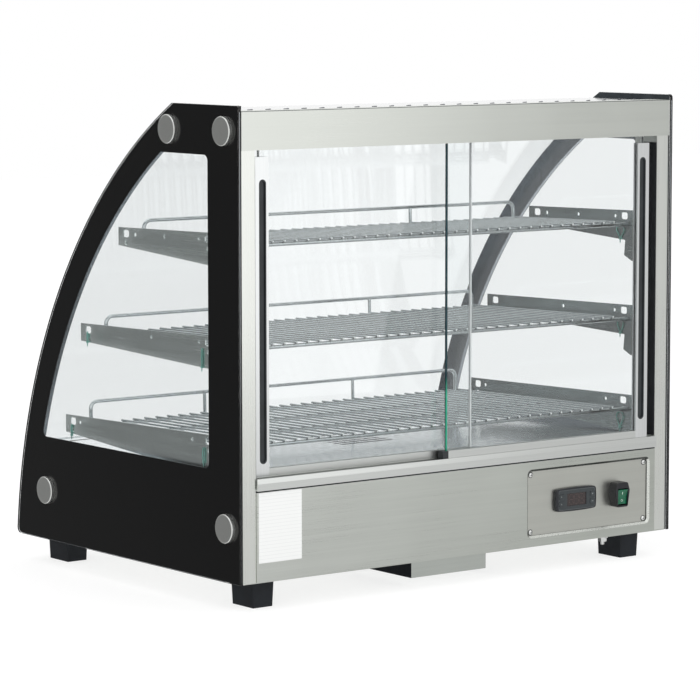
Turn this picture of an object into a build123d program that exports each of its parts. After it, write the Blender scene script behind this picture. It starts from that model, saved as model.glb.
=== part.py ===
from build123d import *
import math
import os

os.makedirs("parts", exist_ok=True)

# Countertop display cabinet with a bowed glass front, three wire shelves and two sliding rear doors.
# X runs along the counter, +Y points to the attendant's side with the doors, and Z is up from the counter.
# Profiles are drawn from the rear face (forward is negative) and from the underside of the base.

# Overall form
overall_width = 723
side_height = 596
foot_height = 36
bow_y = 218
bow_z = -54
side_bow = 743.5
corner_radius = 8

# Sheet and glass
pane = 5
film = 0.5
sheet = 1.2
glass_inside = overall_width / 2 - pane
frame_half = glass_inside - film
inner_half = frame_half - sheet

# Front pane and apron, concentric with the side glass
front_bow = side_bow - 4.5
front_half = frame_half - 1.5
apron_top = 118
front_low = 121
front_high = 584

# Levels and widths of the base and the head
deck_top = 128
panel_top = 114.3
post_width = 21
post_depth = 34
post_setback = 1.5
door_half = frame_half - post_width - 0.3
header_low = 540.5
header_high = 589
head_sheet_top = header_high - sheet
ceiling = head_sheet_top - sheet

# Printed border of the side glass
window_bow = 705
window_back = -68.6
window_low = 139.4
window_high = 533

# Caps that clamp the side glass, as distance from the rear face and height
cap_places = [(-149, 563), (-29.8, 564), (-445.9, 67.6), (-27, 69)]
cap_diameter = 37
cap_height = 5.5
stud_diameter = 8

# Door tracks
track_high = 131.5
track_step = 125.3
track_floor = 118.5
track_gap = 2.2
outer_groove = -5.5
inner_groove = -19
groove_width = 12
lip = 1.5
door_thickness = 10.5
handle_width = 20.5
handle_high = 531.5
glide_length = 9
rail_low = 121
rail_high = 141.3
door_glass_high = 553
pane_slot = 5.2

# Shelves: front end of each bracket from the rear face, and height of its top edge there
shelf_tilt = math.radians(1.25)
tiers = {"top": (-283, 431), "middle": (-375, 298.5), "bottom": (-414, 173)}
guard_rise = {"top": 26, "middle": 25.5, "bottom": 33}
bracket_back = -40
bracket_plate = 1.5
bracket_outside = 348
small_holes = {"top": (-244, -177, -100), "middle": (-208, -100), "bottom": (-379, -117)}
ledge_drop = 21.5
ledge_width = 14.5
wire_diameter = 3
wire_pitch = 18.6
wire_count = 35
rod_diameter = 5
guard_half = 312
guard_post = 126
guard_post_diameter = 4.4

# Control plate and its fittings
plate_x = -216.3
plate_z = 57.9
plate_width = 218.7
plate_height = 92.4
plate_recess = 3.8
controller_x = -192
controller_z = 58
switch_x = -267
switch_z = 57.6
switch_proud = 15

# Air and heat
fan_y = -255
fan_size = 120
fan_depth = 38
axle_diameter = 8


def bow(radius, height):
    """Place of a front arc, from the rear face, at a height above the underside."""
    return bow_y - math.sqrt(radius**2 - (height - bow_z) ** 2)


# The box of the whole object is centred on the origin
front_reach = -bow(side_bow, corner_radius)
rear = (front_reach - (switch_proud - plate_recess)) / 2


def side_plane(x):
    return Plane(origin=(x, rear, foot_height), x_dir=(0, 1, 0), z_dir=(1, 0, 0))


def back_plane(depth):
    return Plane(origin=(0, rear + depth, foot_height), x_dir=(1, 0, 0), z_dir=(0, -1, 0))


def level(height):
    return Plane(origin=(0, rear, foot_height + height), x_dir=(1, 0, 0), z_dir=(0, 0, 1))


def save(piece, name):
    piece.part.label = name
    export_step(piece.part, f"parts/{name}.step")


def block(low, high, mode=Mode.ADD):
    """Rectangle of a sketch, given by two opposite corners."""
    (left, bottom), (right, top) = low, high
    with Locations(((left + right) / 2, (bottom + top) / 2)):
        Rectangle(abs(right - left), abs(top - bottom), mode=mode)


def bowed_outline(radius, back, low, high, mode=Mode.ADD):
    """Side view with a straight back and a front that follows the bow."""
    middle = (low + high) / 2
    with BuildLine() as outline:
        Polyline((bow(radius, low), low), (back, low), (back, high), (bow(radius, high), high))
        ThreePointArc((bow(radius, high), high), (bow(radius, middle), middle), (bow(radius, low), low))
    make_face(outline.edges(), mode=mode)


def bowed_band(inner, outer, low, high):
    """Section of a bent sheet or pane that follows the bow."""
    middle = (low + high) / 2
    with BuildLine() as outline:
        ThreePointArc((bow(outer, low), low), (bow(outer, middle), middle), (bow(outer, high), high))
        Line((bow(outer, high), high), (bow(inner, high), high))
        ThreePointArc((bow(inner, high), high), (bow(inner, middle), middle), (bow(inner, low), low))
        Line((bow(inner, low), low), (bow(outer, low), low))
    make_face(outline.edges())


# Base

# The pan closes the base below, with a turned-up flange at each side and slots for the fan's air
pan_front = -518
pan_flange = 15
flange_back = -post_setback - sheet
flange_front = -516
with BuildPart() as base_pan:
    with BuildSketch(back_plane(-sheet)):
        block((-inner_half, 0), (inner_half, sheet))
    extrude(amount=-pan_front - sheet)
    with BuildSketch(back_plane(flange_back)):
        for side in (-1, 1):
            block((side * inner_half, 0), (side * (inner_half - sheet), pan_flange))
    extrude(amount=flange_back - flange_front)
    with BuildSketch(level(0)):
        with Locations((0, fan_y)):
            with GridLocations(120, 16, 2, 5):
                SlotOverall(80, 6)
        with Locations((240, -90)):
            Circle(8.2)
    extrude(amount=sheet, mode=Mode.SUBTRACT)
save(base_pan, "base_pan")

# Inner side sheets stand behind the printed border, all round the window. A flange along the front carries
# the bent pane, and a narrow one stiffens the edge of the window.
lining_bow = front_bow - pane - 1.6
lining_high = header_low - 0.5
front_flange = 10
window_flange = 4
with BuildPart() as base_sides:
    for side in (-1, 1):
        with BuildSketch(side_plane(side * inner_half)):
            bowed_outline(lining_bow, -post_depth, 0, lining_high)
            with Locations(cap_places[2]):
                Circle(stud_diameter / 2 + 0.5, mode=Mode.SUBTRACT)
            bowed_outline(window_bow, window_back, window_low, window_high, mode=Mode.SUBTRACT)
        extrude(amount=side * sheet)
        with BuildSketch(side_plane(side * inner_half)):
            bowed_band(lining_bow - sheet, lining_bow, deck_top + 1, lining_high)
        extrude(amount=-side * front_flange)
        with BuildSketch(side_plane(side * inner_half)):
            bowed_band(window_bow, window_bow + sheet, window_low, window_high)
        extrude(amount=-side * window_flange)
save(base_sides, "base_sides")

# The apron carries the bow of the glass down to the pan
with BuildPart() as front_apron:
    with BuildSketch(side_plane(-frame_half)):
        bowed_band(front_bow - sheet, front_bow, sheet, apron_top)
    extrude(amount=2 * frame_half)
    foot_half = inner_half - sheet - 0.5
    with BuildSketch(side_plane(-foot_half)):
        block((bow(front_bow - 0.6, sheet), sheet), (bow(front_bow, 0) + 24, 2 * sheet))
    extrude(amount=2 * foot_half)
save(front_apron, "front_apron")

# The deck is the floor of the chamber, with warm air slots at the front and a grille over the fan
deck_front = bow(front_bow - pane - 2, deck_top)
deck_back = -27.2
with BuildPart() as deck:
    with BuildSketch(side_plane(-inner_half)):
        block((deck_front, deck_top - sheet), (deck_back, deck_top))
        block((deck_front, deck_top - 12), (deck_front + sheet, deck_top))
        block((deck_back - sheet, deck_top - 12), (deck_back, deck_top))
    extrude(amount=2 * inner_half)
    with BuildSketch(level(deck_top)):
        with Locations((0, deck_front + 26)):
            with GridLocations(64, 1, 10, 1):
                SlotOverall(48, 6)
        with Locations((0, fan_y)):
            with GridLocations(1, 14, 1, 7):
                SlotOverall(90, 6)
    extrude(amount=-sheet, mode=Mode.SUBTRACT)
save(deck, "deck")


# Folded posts stand on the pan at both ends of the door opening; their inner flanges are the door jambs
with BuildPart() as rear_posts:
    for side in (-1, 1):
        outside = side * frame_half
        inside = side * (frame_half - post_width)
        with BuildSketch(level(sheet)):
            block((outside, -post_setback), (inside, -post_setback - sheet))
            block((outside, -post_setback), (outside - side * sheet, -post_depth))
            block((inside, -post_setback), (inside + side * sheet, -27))
        extrude(amount=header_low - sheet)
        with BuildSketch(side_plane(side * inner_half)):
            with Locations(cap_places[3]):
                Circle(stud_diameter / 2 + 0.5)
        extrude(amount=side * sheet, mode=Mode.SUBTRACT)
save(rear_posts, "rear_posts")

# The rear panel of the base has a pressed recess that the control plate sits in
screw_x = plate_width / 2 - 8.5
screw_z = plate_height / 2 - 7.5
with BuildPart() as base_rear_panel:
    with BuildSketch(side_plane(-door_half)):
        block((0, sheet), (-sheet, panel_top))
        block((0, panel_top - sheet), (-27, panel_top))
        block((0, sheet), (-18, 2 * sheet))
    extrude(amount=2 * door_half)
    with BuildSketch(back_plane(0)):
        with Locations((plate_x, plate_z)):
            RectangleRounded(plate_width + 2 * sheet, plate_height + 2 * sheet, 9)
    extrude(amount=plate_recess + 2 * sheet)
    with BuildSketch(back_plane(0)):
        with Locations((plate_x, plate_z)):
            RectangleRounded(plate_width, plate_height, 8)
    extrude(amount=plate_recess + sheet, mode=Mode.SUBTRACT)
    with BuildSketch(back_plane(0)):
        with Locations((plate_x, plate_z)):
            RectangleRounded(plate_width - 30, plate_height - 26, 4)
            with GridLocations(2 * screw_x, 2 * screw_z, 2, 2):
                Circle(2.1)
    extrude(amount=plate_recess + 2 * sheet, mode=Mode.SUBTRACT)
save(base_rear_panel, "base_rear_panel")

# Controls

controller_body = (64, 27)
switch_body = (18, 28)
with BuildPart() as control_plate:
    with BuildSketch(back_plane(-plate_recess)):
        with Locations((plate_x, plate_z)):
            RectangleRounded(plate_width - 0.4, plate_height - 0.4, 7.8)
            with GridLocations(2 * screw_x, 2 * screw_z, 2, 2):
                Circle(2.1, mode=Mode.SUBTRACT)
        with Locations((controller_x, controller_z)):
            Rectangle(*controller_body, mode=Mode.SUBTRACT)
        with Locations((switch_x, switch_z)):
            Rectangle(*switch_body, mode=Mode.SUBTRACT)
    extrude(amount=sheet)
save(control_plate, "control_plate")

with BuildPart() as control_plate_screws:
    with BuildSketch(back_plane(-plate_recess)) as heads:
        with Locations((plate_x, plate_z)):
            with GridLocations(2 * screw_x, 2 * screw_z, 2, 2):
                Circle(4)
    extrude(amount=-2.2)
    chamfer(control_plate_screws.faces().sort_by(Axis.Y)[-4:].edges(), 1)
    with BuildSketch(back_plane(-plate_recess)):
        with Locations((plate_x, plate_z)):
            with GridLocations(2 * screw_x, 2 * screw_z, 2, 2):
                Circle(2)
    extrude(amount=8)
save(control_plate_screws, "control_plate_screws")

# Temperature controller: a moulded case with bowed long sides, a smoked window and four keys
case_width = 69.5
case_height = 32
case_proud = 6
window_size = (34, 17)
key_size = (7.5, 6.5)
key_travel = 0.6
key_places = [(27.5, 5), (27.5, -5), (-27.5, 5), (-27.5, -5)]
case_face = case_proud - plate_recess
with BuildPart() as controller_case:
    with BuildSketch(back_plane(case_face)):
        half_width = case_width / 2
        half_height = case_height / 2
        with BuildLine():
            for end in (-1, 1):
                ThreePointArc(
                    (controller_x - half_width, controller_z + end * (half_height - 1.2)),
                    (controller_x, controller_z + end * half_height),
                    (controller_x + half_width, controller_z + end * (half_height - 1.2)),
                )
                ThreePointArc(
                    (controller_x + end * half_width, controller_z - half_height + 1.2),
                    (controller_x + end * (half_width + 1), controller_z),
                    (controller_x + end * half_width, controller_z + half_height - 1.2),
                )
        make_face()
    extrude(amount=case_proud)
    fillet(controller_case.edges().filter_by(Axis.Y), 4)
    fillet(controller_case.faces().sort_by(Axis.Y)[-1].edges(), 1.8)
    with BuildSketch(back_plane(-plate_recess)):
        with Locations((controller_x, controller_z)):
            Rectangle(controller_body[0] - 0.4, controller_body[1] - 0.4)
    extrude(amount=48)
    with BuildSketch(back_plane(case_face)):
        with Locations((controller_x, controller_z)):
            Rectangle(*window_size)
            with Locations(*key_places):
                Rectangle(key_size[0] + 0.4, key_size[1] + 0.4)
    extrude(amount=2.5, mode=Mode.SUBTRACT)
save(controller_case, "controller_case")

with BuildPart() as controller_window:
    with BuildSketch(back_plane(case_face - 0.8)):
        with Locations((controller_x, controller_z)):
            Rectangle(*window_size)
    extrude(amount=1.7)
save(controller_window, "controller_window")

for number, (key_x, key_z) in enumerate(key_places, start=1):
    with BuildPart() as key:
        with BuildSketch(back_plane(case_face + 0.7)):
            with Locations((controller_x + key_x, controller_z + key_z)):
                RectangleRounded(*key_size, 1.2)
        extrude(amount=2.4)
        fillet(key.faces().sort_by(Axis.Y)[-1].edges(), 0.4)
    save(key, f"controller_button_{number}")

# Mains switch: a deep six-sided hood clipped into the plate, and a rocker that turns on a pin across it
switch_half_width = 13
hood_half_width = 9.4
hood_half_height = 16.7
widest_rise = 6
rocker_drop = 2.8
switch_well = (17.6, 23)
rocker_width = 17
rocker_half_height = 10.2
rocker_pivot = rear - plate_recess + 10
rocker_radius = 11
pin_radius = 1.5
with BuildPart() as switch_housing:
    with BuildSketch(back_plane(-plate_recess)) as hood:
        with Locations((switch_x, switch_z)):
            Polygon(
                (-hood_half_width, -hood_half_height),
                (hood_half_width, -hood_half_height),
                (switch_half_width, widest_rise),
                (hood_half_width, hood_half_height),
                (-hood_half_width, hood_half_height),
                (-switch_half_width, widest_rise),
                align=None,
            )
        fillet(hood.vertices(), 3)
    extrude(amount=-switch_proud)
    fillet(switch_housing.faces().sort_by(Axis.Y)[-1].edges(), 1.2)
    with BuildSketch(back_plane(-plate_recess)):
        with Locations((switch_x, switch_z)):
            Rectangle(switch_body[0] - 0.4, switch_body[1] - 0.4)
    extrude(amount=24)
    with BuildSketch(back_plane(-2.5)):
        with Locations((switch_x, switch_z - rocker_drop)):
            Rectangle(*switch_well)
    extrude(amount=-20, mode=Mode.SUBTRACT)
    pin_hole = Plane(origin=(switch_x, rocker_pivot, foot_height + switch_z - rocker_drop), z_dir=(1, 0, 0))
    with BuildSketch(pin_hole):
        Circle(pin_radius + 0.05)
    extrude(amount=10.4, both=True, mode=Mode.SUBTRACT)
save(switch_housing, "switch_housing")

with BuildPart() as switch_rocker:
    with BuildSketch(side_plane(switch_x - rocker_width / 2)):
        pivot = (rocker_pivot - rear, switch_z - rocker_drop)
        bottom = pivot[1] - rocker_half_height
        top = pivot[1] + rocker_half_height
        with BuildLine():
            ThreePointArc((pivot[0] + 2, bottom), (pivot[0] - rocker_radius + 4, pivot[1]), (pivot[0] + 2, top))
            Line((pivot[0] + 2, top), (pivot[0] + 5.2, top - 0.6))
            Line((pivot[0] + 5.2, top - 0.6), (pivot[0] + 2.8, pivot[1]))
            Line((pivot[0] + 2.8, pivot[1]), (pivot[0] + 2.2, bottom + 0.2))
            Line((pivot[0] + 2.2, bottom + 0.2), (pivot[0] + 2, bottom))
        make_face()
    extrude(amount=rocker_width)
    with BuildSketch(pin_hole):
        Circle(pin_radius)
    extrude(amount=10, both=True)
save(switch_rocker, "switch_rocker")

# Door tracks

rear_lip = outer_groove + groove_width / 2
middle_lip = outer_groove - groove_width / 2
front_lip = inner_groove - groove_width / 2
with BuildPart() as lower_track:
    with BuildSketch(side_plane(-door_half)):
        block((rear_lip - 3, panel_top), (front_lip - lip, track_floor))
        lip_low = panel_top + track_gap
        lip_back = rear_lip + lip + 0.9
        with BuildLine():
            Polyline(
                (rear_lip - 3, lip_low),
                (lip_back, lip_low),
                (lip_back, track_step),
                (rear_lip + 1.2, track_high),
                (rear_lip, track_high),
                (rear_lip, track_floor),
                (rear_lip - 3, track_floor),
                close=True,
            )
        make_face()
        block((middle_lip, panel_top), (middle_lip - lip, track_high))
        block((front_lip, panel_top), (front_lip - lip, track_high))
    extrude(amount=2 * door_half)
save(lower_track, "lower_track")

# The upper track hangs inside the header and is deep enough to lift a door out
upper_low = header_low + 0.5
upper_high = upper_low + 22
with BuildPart() as upper_track:
    with BuildSketch(side_plane(-door_half)):
        block((-sheet, upper_high - 2), (front_lip - lip, upper_high))
        for centre in (outer_groove, inner_groove):
            for edge in (3.3, -3.3):
                start = centre + edge
                block((start, upper_low), (start + math.copysign(1, edge), upper_high))
    extrude(amount=2 * door_half)
save(upper_track, "upper_track")

# Head

with BuildPart() as header:
    with BuildSketch(side_plane(-frame_half)):
        block((0, header_low), (-sheet, header_high))
        block((0, header_high - sheet), (-24, header_high))
    extrude(amount=2 * frame_half)
    fillet(header.edges().filter_by(Axis.X).sort_by(Axis.Y)[-2:].sort_by(Axis.Z)[-1], 1.1)
save(header, "header")

# The top sheet turns down over the head of the front pane and has a row of slanted vents
vent_pitch = 28
vent_count = 25
vent_row = -45
with BuildPart() as top_panel:
    with BuildSketch(side_plane(-frame_half)):
        block((-sheet, ceiling), (bow(front_bow + 0.8, ceiling), head_sheet_top))
        bowed_band(front_bow + 0.2, front_bow + 0.2 + sheet, 566, head_sheet_top)
    extrude(amount=2 * frame_half)
    with BuildSketch(level(ceiling)):
        with Locations((0, vent_row)):
            with GridLocations(vent_pitch, 1, vent_count, 1):
                SlotOverall(22, 4, rotation=34)
    extrude(amount=sheet, mode=Mode.SUBTRACT)
save(top_panel, "top_panel")

with BuildPart() as top_end_plates:
    for side in (-1, 1):
        with BuildSketch(side_plane(side * inner_half)):
            bowed_outline(front_bow - pane - 1.5, -sheet, header_low, ceiling)
            with Locations(*cap_places[:2]):
                Circle(stud_diameter / 2 + 0.5, mode=Mode.SUBTRACT)
        extrude(amount=side * sheet)
save(top_end_plates, "top_end_plates")

# Glass

for side, name in ((-1, "left"), (1, "right")):
    with BuildPart() as side_glass:
        with BuildSketch(side_plane(side * glass_inside)) as outline:
            bowed_outline(side_bow, 0, 0, side_height)
            corners = outline.vertices()
            fillet(corners.sort_by(Axis.X)[0], corner_radius)
            fillet(outline.vertices().group_by(Axis.Y)[-1], 5)
            with Locations(*cap_places):
                Circle(stud_diameter / 2 + 1, mode=Mode.SUBTRACT)
        extrude(amount=side * pane)
    save(side_glass, f"side_glass_{name}")

# Opaque border printed on the inner face of each side glass, around a clear window
with BuildPart() as side_borders:
    for side in (-1, 1):
        with BuildSketch(side_plane(side * frame_half)) as border:
            bowed_outline(side_bow - 0.4, -0.4, 0.4, side_height - 0.4)
            fillet(border.vertices().sort_by(Axis.X)[0], corner_radius)
            with Locations(*cap_places):
                Circle(stud_diameter / 2 + 1, mode=Mode.SUBTRACT)
            with BuildSketch(mode=Mode.SUBTRACT) as window:
                bowed_outline(window_bow, window_back, window_low, window_high)
                fillet(window.vertices(), 8)
        extrude(amount=side * film)
save(side_borders, "side_borders")

with BuildPart() as front_glass:
    with BuildSketch(side_plane(-front_half)):
        bowed_band(front_bow - pane, front_bow, front_low, front_high)
    extrude(amount=2 * front_half)
save(front_glass, "front_glass")

# Silicone strips along both ends of the bent pane, and a gasket under it on the apron
with BuildPart() as front_glass_seals:
    with BuildSketch(side_plane(-front_half)):
        bowed_band(front_bow - pane, front_bow, apron_top, front_low)
        bowed_band(front_bow - pane - 1.5, front_bow - pane, apron_top, front_low + 8)
    extrude(amount=2 * front_half)
    for side in (-1, 1):
        with BuildSketch(side_plane(side * front_half)):
            bowed_band(front_bow - pane, front_bow, front_low, front_high)
        extrude(amount=side * (frame_half - front_half))
save(front_glass_seals, "front_glass_seals")

# Stainless caps outside the side glass, and the studs and nuts that draw them to the frame
with BuildPart() as panel_caps:
    for side in (-1, 1):
        with BuildSketch(side_plane(side * overall_width / 2)):
            with Locations(*cap_places):
                Circle(cap_diameter / 2)
        extrude(amount=side * cap_height)
    rims = panel_caps.edges().filter_by(GeomType.CIRCLE).group_by(Axis.X)
    fillet(rims[0] + rims[-1], 1.5)
save(panel_caps, "panel_caps")

nut_thickness = 6.5
with BuildPart() as panel_studs:
    for side in (-1, 1):
        with BuildSketch(side_plane(side * overall_width / 2)):
            with Locations(*cap_places):
                Circle(stud_diameter / 2)
        extrude(amount=-side * (overall_width / 2 - inner_half + nut_thickness + 2))
        with BuildSketch(side_plane(side * inner_half)):
            with Locations(*cap_places):
                RegularPolygon(6.5, 6, major_radius=False)
        extrude(amount=-side * nut_thickness)
save(panel_studs, "panel_studs")

# Shelf carriers

with BuildPart() as shelf_uprights:
    for side in (-1, 1):
        with BuildSketch(level(deck_top)):
            web = side * bracket_outside
            block((web, -38), (web + side * sheet, -62))
            block((web, -38), (side * inner_half, -38 - sheet))
            block((web, -62), (side * inner_half, -62 + sheet))
        extrude(amount=header_low - deck_top)
save(shelf_uprights, "shelf_uprights")


def bracket_edge(tier, y):
    """Height of a bracket's top edge at a distance from the rear face."""
    front, height = tiers[tier]
    return height + (y - front) * math.tan(shelf_tilt)


def bracket_screw_places(tier):
    top = bracket_edge(tier, -50)
    drop = 42 if tier == "bottom" else 58
    return [(-50, top - 14), (-50, top - drop)]


screw_places = [place for tier in tiers for place in bracket_screw_places(tier)]

for tier, (front, height) in tiers.items():
    with BuildPart() as brackets:
        for side in (-1, 1):
            plate_inside = bracket_outside - bracket_plate
            with BuildSketch(side_plane(side * plate_inside)):
                rear_top = bracket_edge(tier, bracket_back)
                leg = [(-79, rear_top - 42), (-81, rear_top - 63), (-66, rear_top - 70), (bracket_back, rear_top - 71)]
                if tier == "bottom":
                    leg = [(-86, deck_top + 0.5), (bracket_back, deck_top + 0.5)]
                with BuildLine():
                    Polyline((front, height - 23.5), *leg, (bracket_back, rear_top), (front, height), close=True)
                make_face()
                for slot_y in (front + 18, -81):
                    slot_z = bracket_edge(tier, slot_y) - 8
                    with Locations((slot_y, slot_z)):
                        RectangleRounded(13, 9.5, 3, mode=Mode.SUBTRACT)
                    with Locations((slot_y, slot_z - 11 - sheet)):
                        Circle(3, mode=Mode.SUBTRACT)
                for hole_y in small_holes[tier]:
                    with Locations((hole_y, bracket_edge(tier, hole_y) - 8.5)):
                        Circle(2.5, mode=Mode.SUBTRACT)
                with Locations(*bracket_screw_places(tier)):
                    Circle(2.1, mode=Mode.SUBTRACT)
            extrude(amount=side * bracket_plate)
            with BuildSketch(side_plane(side * plate_inside)):
                ledge_front = front + 2
                ledge_back = -66
                with BuildLine():
                    Polyline(
                        (ledge_front, bracket_edge(tier, ledge_front) - ledge_drop),
                        (ledge_back, bracket_edge(tier, ledge_back) - ledge_drop),
                        (ledge_back, bracket_edge(tier, ledge_back) - ledge_drop - sheet),
                        (ledge_front, bracket_edge(tier, ledge_front) - ledge_drop - sheet),
                        close=True,
                    )
                make_face()
            extrude(amount=-side * ledge_width)
    save(brackets, f"brackets_{tier}")

with BuildPart() as bracket_screws:
    for side in (-1, 1):
        with BuildSketch(side_plane(side * (bracket_outside - bracket_plate))):
            with Locations(*screw_places):
                Circle(4)
        extrude(amount=-side * 2.4)
        with BuildSketch(side_plane(side * (bracket_outside - bracket_plate))):
            with Locations(*screw_places):
                Circle(2)
        extrude(amount=side * bracket_plate)
save(bracket_screws, "bracket_screws")

# Wire shelves: cross rods lie on the ledges and carry a row of wires that run front to back


def rod_plane(tier):
    """Plane through the cross rods' centres, at the front rod, tilted with the brackets."""
    front, height = tiers[tier]
    drop = ledge_drop - (rod_diameter / 2 + 0.05) / math.cos(shelf_tilt)
    start = front + 6
    origin = (0, rear + start, foot_height + bracket_edge(tier, start) - drop)
    return Plane(origin=origin, x_dir=(1, 0, 0), z_dir=(0, -math.sin(shelf_tilt), math.cos(shelf_tilt)))


for tier, (front, height) in tiers.items():
    base = rod_plane(tier)
    shelf_length = (-72 - (front + 6)) / math.cos(shelf_tilt)
    rod_half = bracket_outside - bracket_plate - 1.5
    wire_level = (rod_diameter + wire_diameter) / 2
    with BuildPart() as shelf:
        rod_ends = Plane(origin=base.from_local_coords((-rod_half, 0, 0)), x_dir=base.y_dir, z_dir=(1, 0, 0))
        with BuildSketch(rod_ends):
            with Locations((0, 0), (shelf_length / 3, 0), (2 * shelf_length / 3, 0), (shelf_length, 0)):
                Circle(rod_diameter / 2)
        extrude(amount=2 * rod_half)
        wire_ends = Plane(origin=base.from_local_coords((0, -3, wire_level)), x_dir=(1, 0, 0), z_dir=-base.y_dir)
        with BuildSketch(wire_ends):
            with GridLocations(wire_pitch, 1, wire_count, 1):
                Circle(wire_diameter / 2)
        extrude(amount=-(shelf_length + 7))
    save(shelf, f"shelf_{tier}")

    rise = guard_rise[tier]
    with BuildPart() as guard:
        foot = rod_diameter / 2
        corners = [(-guard_half, 0, foot), (-guard_half, 0, rise), (guard_half, 0, rise), (guard_half, 0, foot)]
        with BuildLine(base) as hoop:
            FilletPolyline(*corners, radius=10)
        with BuildSketch(Plane(origin=hoop.line @ 0, z_dir=hoop.line % 0)):
            Circle(rod_diameter / 2)
        sweep()
        with BuildSketch(base.offset(foot)):
            with Locations((-guard_post, 0), (guard_post, 0)):
                Circle(guard_post_diameter / 2)
        extrude(amount=rise - foot)
    save(guard, f"shelf_guard_{tier}")

# Sliding doors: a glass pane in a bottom rail, with a full-height handle profile on its outer edge


def make_door(name, side, centre, handle_outer, overlap, flip):
    """side is the end of the opening that the door closes, handle_outer its edge there and overlap its reach
    past the middle; flip turns its handle profile over."""
    near = centre + door_thickness / 2
    far = centre - door_thickness / 2
    handle_inner = handle_outer - handle_width
    with BuildPart() as glass:
        with BuildSketch(level(rail_low + 5.5)):
            block((-side * overlap, centre - pane / 2), (side * (handle_inner + 12), centre + pane / 2))
        extrude(amount=door_glass_high - rail_low - 5.5)
    save(glass, f"{name}_glass")

    grip_low = 147.5 if flip else 156.5
    grip_high = grip_low + 356
    with BuildPart() as handle:
        with BuildSketch(level(rail_low)):
            block((side * handle_inner, near), (side * handle_outer, far))
            slot_half = pane_slot / 2
            block(
                (side * handle_inner, centre - slot_half),
                (side * (handle_inner + 12.2), centre + slot_half),
                mode=Mode.SUBTRACT,
            )
        extrude(amount=handle_high - rail_low)
        grip_centre = (side * (handle_inner + 9.2), (grip_low + grip_high) / 2)
        with BuildSketch(back_plane(near)):
            with Locations(grip_centre):
                SlotOverall(grip_high - grip_low, 11, rotation=90)
        extrude(amount=2.6, mode=Mode.SUBTRACT)
    save(handle, f"{name}_handle")

    with BuildPart() as grip:
        with BuildSketch(back_plane(near)):
            with Locations(grip_centre):
                SlotOverall(grip_high - grip_low, 11, rotation=90)
        extrude(amount=2.6)
        with BuildSketch(back_plane(near)):
            with Locations(grip_centre):
                SlotOverall(grip_high - grip_low - 4, 7.5, rotation=90)
        extrude(amount=1.8, mode=Mode.SUBTRACT)
    save(grip, f"{name}_grip")

    with BuildPart() as rail:
        with BuildSketch(side_plane(-side * overlap)):
            block((near, rail_low), (far, rail_high))
            block((centre - slot_half, rail_low + 5.5), (centre + slot_half, rail_high), mode=Mode.SUBTRACT)
        extrude(amount=side * (handle_inner + overlap))
    save(rail, f"{name}_rail")

    with BuildPart() as glides:
        with BuildSketch(side_plane(-side * overlap)):
            block((near, rail_low), (far, rail_high))
        extrude(amount=-side * glide_length)
        fillet(glides.edges().filter_by(Axis.Y).sort_by(Axis.X)[-2 if side < 0 else 0], 2)
        with BuildSketch(level(rail_low)):
            for place in (10, handle_inner - 40):
                block((side * place, centre - 4), (side * (place + 36), centre + 4))
        extrude(amount=-2.3)
    save(glides, f"{name}_glides")


make_door("door_outer", -1, outer_groove, 319.6, 27.7, False)
make_door("door_inner", 1, inner_groove, 325.7, 21.5, True)

# Underside

foot_places = [(-309, -46), (309, -46), (-309, -477), (309, -477)]
with BuildPart() as feet:
    with BuildSketch(level(0)):
        with Locations(*foot_places):
            RectangleRounded(34, 49, 3)
    extrude(amount=-foot_height, taper=3)
    with BuildSketch(level(-foot_height)):
        with Locations(*foot_places):
            Circle(7)
    extrude(amount=20, mode=Mode.SUBTRACT)
save(feet, "feet")

# Drip tray on two angle rails under the pan, drawn out to the rear
tray_half = 63
tray_back = -33
tray_front = -148
tray_low = -27
tray_rim = -2.7
rail_shelf = -4
with BuildPart() as drip_tray:
    with BuildSketch(level(tray_low)):
        block((-tray_half, tray_front), (tray_half, tray_back))
    extrude(amount=tray_rim - tray_low)
    with BuildSketch(level(tray_low + 1)):
        block((-tray_half + 1, tray_front + 1), (tray_half - 1, tray_back - 1))
    extrude(amount=tray_rim - tray_low - 1, mode=Mode.SUBTRACT)
    with BuildSketch(level(tray_rim - 1.2)):
        for side in (-1, 1):
            block((side * tray_half, tray_front), (side * (tray_half + 6), tray_back))
    extrude(amount=1.2)
save(drip_tray, "drip_tray")

with BuildPart() as tray_rails:
    with BuildSketch(back_plane(tray_back + 2)):
        for side in (-1, 1):
            block((side * (tray_half + 1.5), rail_shelf - 1.2), (side * (tray_half + 9), rail_shelf))
            block((side * (tray_half + 7.8), rail_shelf - 1.2), (side * (tray_half + 9), 0))
            block((side * (tray_half + 7.8), -1.2), (side * (tray_half + 18), 0))
    extrude(amount=tray_back - tray_front + 6)
save(tray_rails, "tray_rails")

# Lamp under the top sheet
lamp_y = -118
with BuildPart() as lamp_housing:
    with BuildSketch(side_plane(-300)):
        block((lamp_y - 17, ceiling - 18), (lamp_y + 17, ceiling))
        block((lamp_y - 15.8, ceiling - 18), (lamp_y + 15.8, ceiling - 1.2), mode=Mode.SUBTRACT)
    extrude(amount=600)
    for side in (-1, 1):
        with BuildSketch(side_plane(side * 300)):
            block((lamp_y - 17, ceiling - 26), (lamp_y + 17, ceiling))
        extrude(amount=-side * 6)
save(lamp_housing, "lamp_housing")

with BuildPart() as lamp_tube:
    with BuildSketch(side_plane(-294)):
        with Locations((lamp_y, ceiling - 15)):
            Circle(7.5)
    extrude(amount=588)
save(lamp_tube, "lamp_tube")

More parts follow.
